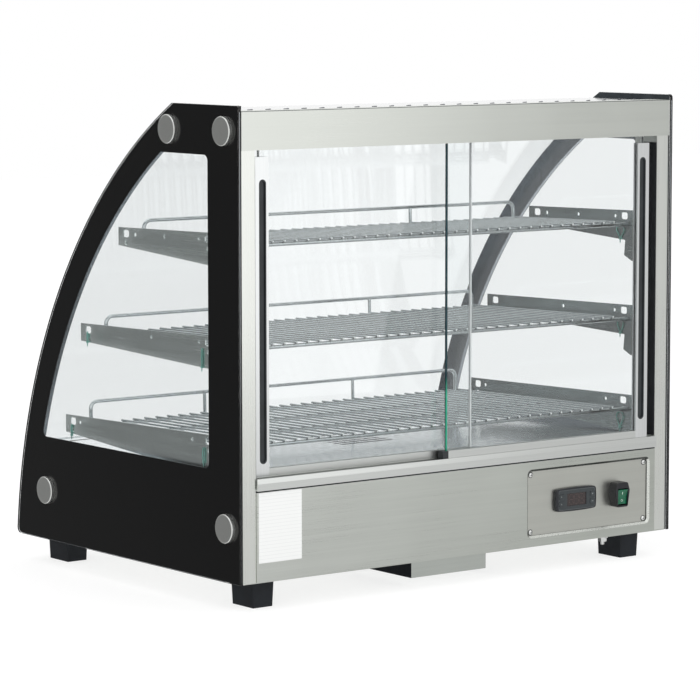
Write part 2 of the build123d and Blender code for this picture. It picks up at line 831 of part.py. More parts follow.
# Fan under the deck: a square frame with a round bore, three spokes and the axle, and a bladed rotor
fan_top = deck_top - sheet
fan_low = fan_top - fan_depth
hub_low = fan_low + 6
with BuildPart() as fan_frame:
    with BuildSketch(level(fan_low)):
        with Locations((0, fan_y)):
            RectangleRounded(fan_size, fan_size, 6)
            Circle(fan_size / 2 - 2.5, mode=Mode.SUBTRACT)
    extrude(amount=fan_depth)
    with BuildSketch(level(fan_low)):
        with Locations((0, fan_y)):
            Circle(20)
            with PolarLocations(0, 3, start_angle=45):
                with Locations((30, 0)):
                    Rectangle(58, 6)
    extrude(amount=5)
    with BuildSketch(level(fan_low)):
        with Locations((0, fan_y)):
            Circle(axle_diameter / 2)
    extrude(amount=26)
save(fan_frame, "fan_frame")

rotor_height = 26
with BuildPart() as fan_rotor:
    with BuildSketch(level(hub_low)):
        with Locations((0, fan_y)):
            Circle(22)
    extrude(amount=rotor_height)
    with BuildSketch(level(hub_low)):
        with Locations((0, fan_y)):
            Circle(axle_diameter / 2 + 0.05)
    extrude(amount=21, mode=Mode.SUBTRACT)
    for number in range(7):
        angle = math.radians(number * 360 / 7)
        outward = Vector(math.cos(angle), math.sin(angle), 0)
        around = Vector(-math.sin(angle), math.cos(angle), 0)
        centre = Vector(0, rear + fan_y, foot_height + hub_low + rotor_height / 2) + outward * 20
        with BuildSketch(Plane(origin=centre, x_dir=around, z_dir=outward)):
            Rectangle(28, 2.5, rotation=38)
        extrude(amount=34)
save(fan_rotor, "fan_rotor")

# Tubular heater beside the fan, on two brackets that stand on the pan
heater_level = 52
with BuildPart() as heater_element:
    run = 250
    loop = [(-run, -330), (-run, -400), (run, -400), (run, -330), (-run + 60, -330)]
    with BuildLine(level(heater_level)) as coil:
        FilletPolyline(*[(x, y, 0) for x, y in loop], radius=20)
    with BuildSketch(Plane(origin=coil.line @ 0, z_dir=coil.line % 0)):
        Circle(4)
    sweep()
save(heater_element, "heater_element")

with BuildPart() as heater_brackets:
    for side in (-1, 1):
        with BuildSketch(side_plane(side * 150)):
            block((-412, sheet), (-318, heater_level + 10))
            with Locations((-330, heater_level), (-400, heater_level)):
                Circle(4.05, mode=Mode.SUBTRACT)
        extrude(amount=1.5)
        with BuildSketch(level(sheet)):
            block((side * 150, -412), (side * 150 + 16, -318))
        extrude(amount=1.2)
save(heater_brackets, "heater_brackets")

# Gland for the mains lead in the pan, and the terminal block beside it
with BuildPart() as cable_gland:
    with BuildSketch(level(-3)):
        with Locations((240, -90)):
            RegularPolygon(11, 6, major_radius=False)
    extrude(amount=3)
    with BuildSketch(level(-3)):
        with Locations((240, -90)):
            Circle(9)
    extrude(amount=-11, taper=12)
    with BuildSketch(level(0)):
        with Locations((240, -90)):
            Circle(8)
    extrude(amount=9)
    with BuildSketch(level(sheet)):
        with Locations((240, -90)):
            RegularPolygon(11, 6, major_radius=False)
    extrude(amount=5)
    with BuildSketch(level(-14)):
        with Locations((240, -90)):
            Circle(4)
    extrude(amount=24, mode=Mode.SUBTRACT)
save(cable_gland, "cable_gland")

with BuildPart() as terminal_block:
    with BuildSketch(side_plane(190)):
        block((-150, sheet), (-118, 12))
        block((-143, 12), (-125, 20))
    extrude(amount=60)
    with BuildSketch(level(20)):
        with Locations((220, -134)):
            with GridLocations(12, 1, 4, 1):
                Circle(3)
    extrude(amount=-6, mode=Mode.SUBTRACT)
save(terminal_block, "terminal_block")
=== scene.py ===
import bmesh
import bpy
import math
from mathutils import Matrix
from mathutils import Vector


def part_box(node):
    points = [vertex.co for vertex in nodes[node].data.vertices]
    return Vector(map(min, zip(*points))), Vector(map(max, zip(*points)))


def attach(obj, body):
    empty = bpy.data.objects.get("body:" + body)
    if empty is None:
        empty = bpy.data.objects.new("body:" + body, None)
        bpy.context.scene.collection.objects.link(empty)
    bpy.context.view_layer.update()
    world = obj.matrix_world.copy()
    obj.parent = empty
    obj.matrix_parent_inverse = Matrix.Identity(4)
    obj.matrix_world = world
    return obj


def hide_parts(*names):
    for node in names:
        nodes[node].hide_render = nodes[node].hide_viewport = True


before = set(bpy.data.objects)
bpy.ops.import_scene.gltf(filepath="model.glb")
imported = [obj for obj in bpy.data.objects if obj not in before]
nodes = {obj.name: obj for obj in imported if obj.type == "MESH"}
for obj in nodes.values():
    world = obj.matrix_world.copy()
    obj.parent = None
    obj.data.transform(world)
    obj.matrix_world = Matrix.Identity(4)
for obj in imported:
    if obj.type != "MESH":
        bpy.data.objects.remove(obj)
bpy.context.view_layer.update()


# Base, posts, head and side sheets
# Folded from 1.2 mm stainless sheet and spot welded, with the brushed grain along each sheet's length,
# so that it stands upright on the posts and lies level on the rear panel and the header.
def set_inputs(tree, node, inputs):
    """Each input is given a number, a colour or the socket that feeds it."""
    for name, value in inputs.items():
        if isinstance(value, bpy.types.NodeSocket):
            tree.links.new(value, node.inputs[name])
        else:
            node.inputs[name].default_value = value


def add_node(tree, kind, properties=None, inputs=None):
    """A shader node with its own properties and inputs."""
    made = tree.nodes.new("ShaderNode" + kind)
    for name, value in (properties or {}).items():
        setattr(made, name, value)
    set_inputs(tree, made, inputs or {})
    return made


def new_finish(name):
    """A material, its node tree, its Principled shader and its Object coordinates."""
    material = bpy.data.materials.new(name)
    material.use_nodes = True
    tree = material.node_tree
    shader = tree.nodes["Principled BSDF"]
    place = add_node(tree, "TexCoord").outputs["Object"]
    return material, tree, shader, place


def calculate(tree, operation, *values):
    """The result of one step of arithmetic."""
    return add_node(tree, "Math", {"operation": operation}, dict(enumerate(values))).outputs["Value"]


def coordinate(tree, vector, axis):
    """How far a vector reaches along one axis."""
    return add_node(tree, "SeparateXYZ", inputs={0: vector}).outputs[axis]


def between(tree, factor, low, high, start=0.35, end=0.65):
    """A number that runs from low to high as the factor runs from start to end."""
    limits = {"Value": factor, "From Min": start, "From Max": end, "To Min": low, "To Max": high}
    return add_node(tree, "MapRange", inputs=limits).outputs["Result"]


def shade_between(tree, factor, dark, light, start=0.35, end=0.65):
    """A colour that runs from dark to light as the factor runs from start to end."""
    ramp = add_node(tree, "ValToRGB", inputs={"Fac": factor})
    first, last = ramp.color_ramp.elements
    first.position = start
    first.color = (*dark, 1)
    last.position = end
    last.color = (*light, 1)
    return ramp.outputs["Color"]


def mix_colours(tree, share, first, second, blend="MIX"):
    """The first colour where the share is 0, blended with the second as the share rises to 1."""
    shades = {"Fac": share, "Color1": first, "Color2": second}
    return add_node(tree, "MixRGB", {"blend_type": blend}, shades).outputs["Color"]


def scaled(colour, factor):
    """A colour made darker or lighter, and never brighter than white."""
    return [min(1, channel * factor) for channel in colour]


def noise(tree, place, scale, detail=2, roughness=0.5):
    inputs = {"Vector": place, "Scale": scale, "Detail": detail, "Roughness": roughness}
    return add_node(tree, "TexNoise", inputs=inputs).outputs["Fac"]


def stretched(tree, place, scale):
    return add_node(tree, "Mapping", inputs={"Vector": place, "Scale": scale}).outputs["Vector"]


def grained(tree, place, grain, across, along):
    """Coordinates that draw noise out into lines along one axis."""
    scale = [across, across, across]
    scale["XYZ".index(grain)] = along
    return stretched(tree, place, scale)


def bump(tree, height, distance, strength=1.0):
    inputs = {"Height": height, "Distance": distance, "Strength": strength}
    return add_node(tree, "Bump", inputs=inputs).outputs["Normal"]


def brushed_sheet(name, grain, colour, roughness=0.3, contrast=0.05, relief=0.6):
    """Brushed sheet: hairlines along the grain, wider soft bands, and slow clouding from the rolling."""
    material, tree, shader, place = new_finish(name)
    hairlines = noise(tree, grained(tree, place, grain, across=1400, along=9), 1, 3, 0.7)
    bands = noise(tree, grained(tree, place, grain, across=160, along=1.6), 1, 3, 0.6)
    clouds = noise(tree, place, 7, 2)
    lines = calculate(tree, "ADD", hairlines, bands)
    mixed = calculate(tree, "DIVIDE", calculate(tree, "ADD", lines, clouds), 3)
    dark = scaled(colour, 1 - contrast)
    light = scaled(colour, 1 + contrast)
    surface = {
        "Metallic": 1.0,
        "Base Color": shade_between(tree, mixed, dark, light, 0.4, 0.6),
        "Roughness": between(tree, mixed, roughness * 0.88, roughness * 1.15, 0.4, 0.6),
        "Normal": bump(tree, hairlines, 0.00002, relief),
    }
    set_inputs(tree, shader, surface)
    return material


def retint(finish, share, tone, blend="MIX"):
    """Blends a tone into a finish's own base colour, as far as the share says."""
    tree = finish.node_tree
    base = tree.nodes["Principled BSDF"].inputs["Base Color"]
    own_colour = base.links[0].from_socket
    tree.links.new(mix_colours(tree, share, own_colour, (*tone, 1), blend), base)


def paint_shade_by_place(finish, axis, start, end, tone):
    """Painted shade: multiplies the base colour by a darker tone up to the start of a stretch, fading out
    towards its end.
    """
    tree = finish.node_tree
    place = add_node(tree, "TexCoord").outputs["Object"]
    share = between(tree, coordinate(tree, place, axis), 1.0, 0.0, start, end)
    retint(finish, share, tone, "MULTIPLY")


def paint_shade_on_faces(finish, axis, middle, reach, tone, only_at=None):
    """Painted shade: a darker tone where the normal's share of an axis is within a reach of a middle value.

    With only_at, just the faces near that place along Y take it.
    """
    tree = finish.node_tree
    normal = add_node(tree, "NewGeometry").outputs["Normal"]
    steepness = calculate(tree, "ABSOLUTE", coordinate(tree, normal, axis))
    share = calculate(tree, "COMPARE", steepness, middle, reach)
    if only_at is not None:
        half_band = 0.015
        place = add_node(tree, "TexCoord").outputs["Object"]
        near = calculate(tree, "COMPARE", coordinate(tree, place, "Y"), only_at, half_band)
        share = calculate(tree, "MULTIPLY", share, near)
    retint(finish, share, tone)


def dress(finish, *names):
    """Gives CAD nodes a finish."""
    for name in names:
        nodes[name].data.materials.clear()
        nodes[name].data.materials.append(finish)


level_grain = brushed_sheet("steel_level_grain", "X", (0.68, 0.705, 0.665), contrast=0.04, relief=0.25)
# Painted shade: the rear panel, apron, pan and lamp housing are darkened towards -X.
paint_shade_by_place(level_grain, "X", -0.34, 0.34, tone=(0.82, 0.83, 0.81))
dress(level_grain, "base_rear_panel", "front_apron", "base_pan", "lamp_housing")
header_finish = brushed_sheet("steel_header", "X", (0.69, 0.71, 0.67), contrast=0.02, relief=0.3)
# Painted shade: the header is darkened a little towards -X, and its bend between face and top is darkened
# more.
paint_shade_by_place(header_finish, "X", -0.1, 0.36, tone=(0.96, 0.965, 0.96))
paint_shade_on_faces(header_finish, "Z", middle=0.58, reach=0.38, tone=(0.1, 0.11, 0.11))
dress(header_finish, "header")
upright_grain = brushed_sheet("steel_upright_grain", "Z", (0.8, 0.82, 0.78), 0.28, contrast=0.02)
dress(upright_grain, "rear_posts", "shelf_uprights")
depth_grain = brushed_sheet("steel_depth_grain", "Z", (0.4, 0.43, 0.46), 0.2, contrast=0.08)
dress(depth_grain, "base_sides", "top_end_plates", "tray_rails", "heater_brackets")

# Top sheet and deck
# The top sheet is brushed like the rest, and the walls of its slanted vents are darkened as painted shade.
# The deck is a paler, smoother sheet with a satin sheen, wiped clean every day, so it mirrors the shelves
# softly.
panel_low, panel_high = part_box("base_rear_panel")
vent_setback = 0.045
vent_row = panel_high.y - vent_setback
top_finish = brushed_sheet("steel_top_sheet", "X", (0.86, 0.87, 0.87), 0.2, contrast=0.02)
paint_shade_on_faces(top_finish, "Z", middle=0.0, reach=0.5, tone=(0.03, 0.033, 0.036), only_at=vent_row)
dress(top_finish, "top_panel")
deck_finish = brushed_sheet("steel_deck", "X", (0.97, 0.985, 1.0), 0.16, contrast=0.008, relief=0.02)
dress(deck_finish, "deck")

# Control plate
# A separate plate in a pressed recess of the rear panel, in the same sheet, held by four screws.
plate_finish = brushed_sheet("steel_control_plate", "X", (0.59, 0.6, 0.555), 0.33, contrast=0.03)
dress(plate_finish, "control_plate")


# Screws, studs and other small hardware
# Turned or headed from bright stainless bar, and left as they come from the machine.
def bright_bar(name, colour, roughness):
    """Bright metal with faint turning marks and slight unevenness."""
    material, tree, shader, place = new_finish(name)
    marks = noise(tree, place, 900, 3)
    surface = {
        "Metallic": 1.0,
        "Base Color": shade_between(tree, marks, scaled(colour, 0.9), colour),
        "Roughness": roughness,
        "Normal": bump(tree, marks, 0.00001, 0.4),
    }
    set_inputs(tree, shader, surface)
    return material


hardware = bright_bar("bright_hardware", (0.72, 0.73, 0.72), 0.18)
dress(hardware, "control_plate_screws", "panel_studs", "bracket_screws")


# Caps on the side glass
# Turned stainless discs with a rounded rim. Their faces are finished with a fine matt grain.
def turned_face(name, colour):
    material, tree, shader, place = new_finish(name)
    grain = noise(tree, stretched(tree, place, (60, 900, 900)), 1, 3, 0.6)
    surface = {
        "Metallic": 1.0,
        "Base Color": shade_between(tree, grain, scaled(colour, 0.9), colour),
        "Roughness": between(tree, grain, 0.28, 0.36),
        "Normal": bump(tree, grain, 0.00001, 0.5),
    }
    set_inputs(tree, shader, surface)
    return material


dress(turned_face("turned_cap", (0.74, 0.755, 0.73)), "panel_caps")


# Glass
# Clear toughened panes with ground edges. The bent front pane is the same glass, sagged over a form.
def mix_shaders(tree, share, first, second):
    """The first surface where the share is 0 and the second where it is 1."""
    return add_node(tree, "MixShader", inputs={0: share, 1: first, 2: second}).outputs[0]


def clear_pane(name, tint):
    """Clear glass that lets lamp light through, with a faint cast that gathers where it is seen along."""
    material, tree, shader = new_finish(name)[:3]
    surface = {
        "Base Color": (*tint, 1),
        "Roughness": 0.0,
        "IOR": 1.5,
        "Transmission Weight": 1.0,
    }
    set_inputs(tree, shader, surface)
    twice_through = [channel**2 for channel in tint]
    through = add_node(tree, "BsdfTransparent", inputs={"Color": (*twice_through, 1)}).outputs[0]
    lamp_ray = add_node(tree, "LightPath").outputs["Is Shadow Ray"]
    glass = mix_shaders(tree, lamp_ray, shader.outputs[0], through)
    tree.links.new(glass, tree.nodes["Material Output"].inputs["Surface"])
    return material


pane_glass = clear_pane("clear_glass", (0.982, 0.998, 1.0))
dress(pane_glass, "side_glass_left", "side_glass_right", "front_glass")
dress(pane_glass, "door_outer_glass", "door_inner_glass")


# Printed border of the side glass
# Blue-black matt enamel fired onto the inner face. Seen from inside the cabinet, its back is greyer and
# a little mottled.
def fired_enamel(name, front, back):
    material, tree, shader, place = new_finish(name)
    normal = add_node(tree, "NewGeometry").outputs["Normal"]
    outward = calculate(tree, "MULTIPLY", coordinate(tree, normal, "X"), coordinate(tree, place, "X"))
    back_limit = -0.05
    outside = calculate(tree, "GREATER_THAN", outward, back_limit)
    speckle = noise(tree, place, 60, 4, 0.6)
    mottled_back = shade_between(tree, speckle, scaled(back, 0.7), back)
    surface = {
        "Base Color": mix_colours(tree, outside, mottled_back, (*front, 1)),
        "Roughness": between(tree, speckle, 0.5, 0.6),
        "Specular IOR Level": 0.0,
    }
    set_inputs(tree, shader, surface)
    return material


dress(fired_enamel("border_enamel", (0.006, 0.0088, 0.0135), (0.05, 0.058, 0.064)), "side_borders")


# Seals of the front pane
# Clear silicone, tooled smooth along both ends of the pane and under it.
def soft_seal(name, colour):
    material, tree, shader, place = new_finish(name)
    waves = noise(tree, place, 160, 3)
    surface = {
        "Base Color": shade_between(tree, waves, scaled(colour, 0.85), colour),
        "Roughness": 0.25,
        "IOR": 1.41,
        "Transmission Weight": 0.85,
        "Normal": bump(tree, waves, 0.0001, 0.4),
    }
    set_inputs(tree, shader, surface)
    return material


dress(soft_seal("silicone_seal", (0.88, 0.93, 0.95)), "front_glass_seals")


# Door profiles and tracks
# Extruded aluminium, satin anodised. The drawn lines run along each length.
def anodised(name, grain, colour, roughness=0.32):
    material, tree, shader, place = new_finish(name)
    drawn = noise(tree, grained(tree, place, grain, across=500, along=2), 1, 3, 0.5)
    surface = {
        "Metallic": 1.0,
        "Base Color": shade_between(tree, drawn, scaled(colour, 0.95), colour),
        "Roughness": roughness,
        "Normal": bump(tree, drawn, 0.00001, 0.4),
    }
    set_inputs(tree, shader, surface)
    return material


track_finish = anodised("anodised_track", "X", (0.74, 0.76, 0.74))
dress(track_finish, "lower_track", "upper_track", "door_outer_rail", "door_inner_rail")
stile_finish = anodised("anodised_stile", "Z", (0.86, 0.88, 0.88), 0.28)
dress(stile_finish, "door_outer_handle", "door_inner_handle")


# Mouldings: finger grips, glides, keys, switch frame, fan and gland
# Black nylon and ABS, and grey nylon for the inner door's glides, with a fine spark texture from the mould.
def moulded(name, colour, roughness=0.42, grain=1500, depth=0.00004):
    material, tree, shader, place = new_finish(name)
    texture = noise(tree, place, grain, 2)
    clouds = noise(tree, place, 40, 2)
    surface = {
        "Base Color": shade_between(tree, clouds, scaled(colour, 0.8), scaled(colour, 1.2)),
        "Roughness": between(tree, texture, roughness - 0.05, roughness + 0.08),
        "Normal": bump(tree, texture, depth, 0.5),
    }
    set_inputs(tree, shader, surface)
    return material


black_nylon = moulded("black_nylon", (0.02, 0.023, 0.026))
dress(black_nylon, "door_outer_glides", "fan_frame", "fan_rotor", "cable_gland", "terminal_block")
dress(moulded("grey_nylon", (0.5, 0.52, 0.53)), "door_inner_glides")
dress(moulded("grip_moulding", (0.02, 0.025, 0.028)), "door_outer_grip", "door_inner_grip")
dress(moulded("switch_moulding", (0.007, 0.008, 0.011), 0.38), "switch_housing")
keys = [f"controller_button_{number}" for number in range(1, 5)]
dress(moulded("key_moulding", (0.034, 0.042, 0.046), 0.38), *keys)


# Controller case
# A black moulding with a slate-grey film laid over its face, inside a thin paler line.
def combine(tree, operation, *vectors):
    """The result of one step of arithmetic on vectors."""
    result = "Value" if operation in ("LENGTH", "DOT_PRODUCT") else "Vector"
    return add_node(tree, "VectorMath", {"operation": operation}, dict(enumerate(vectors))).outputs[result]


def filmed_case(name, centre, half_size, corner, black, slate, line):
    """Distances are taken in the face's own plane, from a rounded rectangle about the centre."""
    material, tree, shader, place = new_finish(name)
    texture = noise(tree, place, 1500, 2)
    line_width = 0.0007
    any_depth = 1.0
    core = Vector((half_size[0] - corner, any_depth, half_size[1] - corner))
    folded = combine(tree, "ABSOLUTE", combine(tree, "SUBTRACT", place, centre))
    beyond = combine(tree, "MAXIMUM", combine(tree, "SUBTRACT", folded, core), (0, 0, 0))
    distance = combine(tree, "LENGTH", beyond)
    film = calculate(tree, "LESS_THAN", distance, corner)
    inner = calculate(tree, "LESS_THAN", distance, corner - line_width)
    edged = mix_colours(tree, film, (*black, 1), (*line, 1))
    surface = {
        "Base Color": mix_colours(tree, inner, edged, (*slate, 1)),
        "Roughness": between(tree, texture, 0.32, 0.42),
        "Normal": bump(tree, texture, 0.00003, 0.4),
    }
    set_inputs(tree, shader, surface)
    return material


case_low, case_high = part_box("controller_case")
case_middle = (case_low + case_high) / 2
film_half = ((case_high.x - case_low.x) / 2 - 0.0038, (case_high.z - case_low.z) / 2 - 0.0024)
film_corner = 0.0025
case_shades = {
    "black": (0.008, 0.01, 0.014),
    "slate": (0.034, 0.042, 0.046),
    "line": (0.09, 0.1, 0.105),
}
case_finish = filmed_case("controller_moulding", case_middle, film_half, film_corner, **case_shades)
dress(case_finish, "controller_case")


# Controller window
# A smoked window flush with the face. The display behind it is off, so its bars are only just seen.
def smoked_window(name, colour):
    material, tree, shader, place = new_finish(name)
    haze = noise(tree, place, 300, 2)
    surface = {
        "Base Color": shade_between(tree, haze, scaled(colour, 0.9), colour),
        "Roughness": 0.12,
        "Coat Weight": 0.4,
    }
    set_inputs(tree, shader, surface)
    return material


dress(smoked_window("smoked_window", (0.028, 0.018, 0.018)), "controller_window")


# Rocker of the mains switch
# A translucent green cap, unlit.
def green_cap(name, colour):
    material, tree, shader, place = new_finish(name)
    depth = noise(tree, place, 120, 2)
    surface = {
        "Base Color": shade_between(tree, depth, scaled(colour, 0.75), colour),
        "Roughness": 0.22,
        "Subsurface Weight": 0.15,
        "Coat Weight": 0.3,
    }
    set_inputs(tree, shader, surface)
    return material


dress(green_cap("green_rocker", (0.0, 0.14, 0.065)), "switch_rocker")


# Shelves, guards and brackets
# Cold drawn wire, welded and then chromium plated, with each wire's end rounded and given a brighter colour
# as a painted highlight. The brackets are folded from brushed sheet, and the left-hand ones are darkened as
# painted shade.
def keep_piece(mesh_data, name, finish, body, sharp_angle=35):
    """Turns a bmesh into a finished piece at the origin, riding on its body."""
    sharp = math.radians(sharp_angle)
    for face in mesh_data.faces:
        face.smooth = True
    for edge in mesh_data.edges:
        edge.smooth = len(edge.link_faces) == 2 and edge.calc_face_angle(0) < sharp
    mesh = bpy.data.meshes.new(name)
    mesh_data.to_mesh(mesh)
    mesh_data.free()
    mesh.materials.append(finish)
    piece = bpy.data.objects.new(name, mesh)
    bpy.context.scene.collection.objects.link(piece)
    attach(piece, body)
    return piece


def plated_wire(name, colour, roughness):
    material, tree, shader, place = new_finish(name)
    ripple = noise(tree, place, 260, 3)
    surface = {
        "Metallic": 1.0,
        "Base Color": shade_between(tree, ripple, scaled(colour, 0.88), colour),
        "Roughness": roughness,
        "Normal": bump(tree, ripple, 0.00004, 0.4),
    }
    set_inputs(tree, shader, surface)
    return material


wire_finish = plated_wire("plated_wire", (0.5, 0.54, 0.545), 0.16)
guard_finish = plated_wire("plated_guard", (0.72, 0.76, 0.77), 0.15)
highlight_tip_finish = bright_bar("wire_tip", (0.86, 0.88, 0.88), 0.12)
bracket_finish = brushed_sheet("steel_bracket", "Y", (0.82, 0.875, 0.86), 0.24)
# Painted shade: the left-hand brackets, at negative X, are darkened.
paint_shade_by_place(bracket_finish, "X", 0.0, 0.05, tone=(0.55, 0.56, 0.57))
wire_pitch = 0.0186
tip_radius = 0.0016
tip_setback = 0.0006
tip_drop = 0.00155
for tier in ("top", "middle", "bottom"):
    dress(wire_finish, f"shelf_{tier}")
    dress(guard_finish, f"shelf_guard_{tier}")
    dress(bracket_finish, f"brackets_{tier}")
    shelf_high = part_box(f"shelf_{tier}")[1]
    tips = bmesh.new()
    for number in range(-17, 18):
        tip = (number * wire_pitch, shelf_high.y - tip_setback, shelf_high.z - tip_drop)
        round_tip = {"u_segments": 10, "v_segments": 6, "radius": tip_radius}
        bmesh.ops.create_uvsphere(tips, matrix=Matrix.Translation(tip), **round_tip)
    keep_piece(tips, f"wire_tips_{tier}", highlight_tip_finish, f"shelf_{tier}_rack", 60)


# Feet
# Moulded rubber with a slight taper, a dull surface and a little dust in the pores.
def moulded_rubber(name, colour):
    material, tree, shader, place = new_finish(name)
    pores = noise(tree, place, 700, 3, 0.6)
    dust = noise(tree, place, 45, 3)
    surface = {
        "Base Color": shade_between(tree, dust, colour, scaled(colour, 1.5)),
        "Roughness": 0.6,
        "Specular IOR Level": 0.3,
        "Normal": bump(tree, pores, 0.00008, 0.5),
    }
    set_inputs(tree, shader, surface)
    return material


dress(moulded_rubber("foot_rubber", (0.006, 0.008, 0.011)), "feet")

# Drip tray
# Pressed from the same sheet, with a folded rim that slides on two angles under the pan. Its sides are
# dark in the shade of the base.
tray_finish = brushed_sheet("steel_tray", "X", (0.56, 0.59, 0.555), 0.33)
paint_shade_on_faces(tray_finish, "X", middle=1.0, reach=0.5, tone=(0.03, 0.034, 0.04))
dress(tray_finish, "drip_tray")


# Heater and lamp
# A heat-darkened tubular element under the deck, and a frosted tube under the top sheet, both off.
def heat_tinted(name):
    material, tree, shader, place = new_finish(name)
    scale = noise(tree, stretched(tree, place, (14, 60, 60)), 1, 3)
    surface = {
        "Metallic": 0.9,
        "Base Color": shade_between(tree, scale, (0.13, 0.11, 0.095), (0.3, 0.27, 0.24)),
        "Roughness": 0.45,
    }
    set_inputs(tree, shader, surface)
    return material


def frosted_tube(name):
    material, tree, shader, place = new_finish(name)
    powder = noise(tree, place, 80, 2)
    surface = {
        "Base Color": shade_between(tree, powder, (0.8, 0.8, 0.78), (0.88, 0.88, 0.86)),
        "Roughness": 0.3,
    }
    set_inputs(tree, shader, surface)
    return material


dress(heat_tinted("heater_sheath"), "heater_element")
dress(frosted_tube("lamp_glass"), "lamp_tube")


# Rating label
# A white paper label glued to the rear panel and printed with faint empty rows.
def add_block(mesh_data, first, second, corner=0.0, segments=2, placing=Matrix.Identity(4)):
    """A box between two opposite corners, with its edges rounded, moved by a placing."""
    first = Vector(first)
    second = Vector(second)
    size = [abs(reach) for reach in second - first]
    place = placing @ Matrix.Translation((first + second) / 2) @ Matrix.Diagonal((*size, 1))
    made = bmesh.ops.create_cube(mesh_data, size=1, matrix=place)
    if corner:
        edges = {edge for vertex in made["verts"] for edge in vertex.link_edges}
        rounding = {"offset": corner, "segments": segments, "profile": 0.5, "affect": "EDGES", "material": -1}
        bmesh.ops.bevel(mesh_data, geom=list(edges), **rounding)


def keep_block(first, second, name, finish, body, corner=0.0):
    """A piece made of one block."""
    block = bmesh.new()
    add_block(block, first, second, corner)
    keep_piece(block, name, finish, body)


def ruled_paper(name):
    """White paper with rows ruled across it at an even pitch."""
    material, tree, shader, place = new_finish(name)
    half_pitch = 0.0022
    line_width = 0.0003
    from_line = calculate(tree, "PINGPONG", coordinate(tree, place, "Z"), half_pitch)
    ruled = between(tree, from_line, 0.0, 1.0, 0.0, line_width)
    fibre = noise(tree, place, 900, 2)
    surface = {
        "Base Color": shade_between(tree, ruled, (0.78, 0.79, 0.79), (0.92, 0.93, 0.92), 0.2, 0.9),
        "Roughness": 0.5,
        "Normal": bump(tree, fibre, 0.00002, 0.4),
    }
    set_inputs(tree, shader, surface)
    return material


label_low = Vector((0.2653, panel_high.y, panel_low.z + 0.0238))
label_size = Vector((0.0666, 0.00015, 0.0888))
keep_block(label_low, label_low + label_size, "rating_label", ruled_paper("label_paper"), "cabinet")

# Lips of the top vents
# The front edge of each slanted vent is turned up a little, so that a wet cloth doesn't push water in.
top_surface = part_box("top_panel")[1].z
vent_pitch = 0.028
vent_slant = Matrix.Rotation(math.radians(34), 4, "Z")
lip_low = (-0.009, -0.0028, -0.0002)
lip_high = (0.009, -0.002, 0.0014)
lip_corner = 0.00015
lips = bmesh.new()
for number in range(-12, 13):
    vent_place = Matrix.Translation((number * vent_pitch, vent_row, top_surface)) @ vent_slant
    add_block(lips, lip_low, lip_high, lip_corner, segments=1, placing=vent_place)
# The lips are the top sheet's steel, given a much darker colour as painted shade for their shaded sides.
shaded_lip_finish = brushed_sheet("steel_vent_lip_painted_shade", "X", (0.2, 0.205, 0.24), 0.4)
keep_piece(lips, "vent_lips", shaded_lip_finish, "cabinet", 30)

# Display bars
# Three figures of seven bars each behind the smoked window, all of them off.
window_low, window_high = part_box("controller_window")
window_middle = (window_low + window_high) / 2
bar_length = 0.0052
bar_width = 0.0011
half_thickness = 0.00005
figure_pitch = 0.0094
level_half = Vector((bar_length / 2, half_thickness, bar_width / 2))
upright_half = Vector((bar_width / 2, half_thickness, bar_length / 2))
level_bars = [(0, row) for row in (-1, 0, 1)]
upright_bars = [(side, row) for side in (-1, 1) for row in (-0.5, 0.5)]
bars = bmesh.new()
for figure in (-1, 0, 1):
    for side, row in level_bars + upright_bars:
        middle_x = window_middle.x - figure * figure_pitch + side * (bar_length / 2 + bar_width)
        middle_z = window_middle.z + row * (bar_length + bar_width)
        middle = Vector((middle_x, window_high.y + half_thickness, middle_z))
        half = upright_half if side else level_half
        add_block(bars, middle - half, middle + half)
bar_finish = smoked_window("unlit_bar", (0.055, 0.036, 0.034))
keep_piece(bars, "display_bars", bar_finish, "cabinet")

# Marks on the rocker
# A white bar and a white ring, pad printed on the green cap, for on and off.
rocker_low, rocker_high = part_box("switch_rocker")
rocker_x = (rocker_low.x + rocker_high.x) / 2
rocker_z = (rocker_low.z + rocker_high.z) / 2
mark_offset = 0.005
mark_ink = moulded("pad_print_white", (0.5, 0.62, 0.55), 0.4)
upper_slope = Matrix.Rotation(math.radians(-14), 4, "X")
bar_middle = Vector((rocker_x, rocker_high.y - 0.0011, rocker_z + mark_offset))
bar_half = Vector((0.0005, 0.00006, 0.0019))
bar = bmesh.new()
add_block(bar, -bar_half, bar_half, placing=Matrix.Translation(bar_middle) @ upper_slope)
keep_piece(bar, "rocker_bar", mark_ink, "rocker")
ring_radius = 0.0014
ring_line = 0.0003
ring_middle = Vector((rocker_x, rocker_high.y - 0.0027, rocker_z - mark_offset))
section = Matrix.Translation(ring_middle + Vector((ring_radius, 0, 0)))
ring = bmesh.new()
bmesh.ops.create_circle(ring, segments=8, radius=ring_line, matrix=section)
around = {"cent": ring_middle, "axis": (0, 1, 0), "angle": math.radians(360), "steps": 24}
bmesh.ops.spin(ring, geom=ring.verts[:] + ring.edges[:], use_merge=True, **around)
bmesh.ops.recalc_face_normals(ring, faces=ring.faces)
keep_piece(ring, "rocker_ring", mark_ink, "rocker")


# Marks on the controller's keys
# An arrow up and an arrow down at one side, a dot and a dash at the other, printed in pale grey.
def add_disc(mesh_data, radius, depth, segments, place):
    """A flat disc, or a short bar with as many sides as it has segments."""
    sizes = {"radius1": radius, "radius2": radius, "depth": depth}
    bmesh.ops.create_cone(mesh_data, cap_ends=True, segments=segments, matrix=place, **sizes)


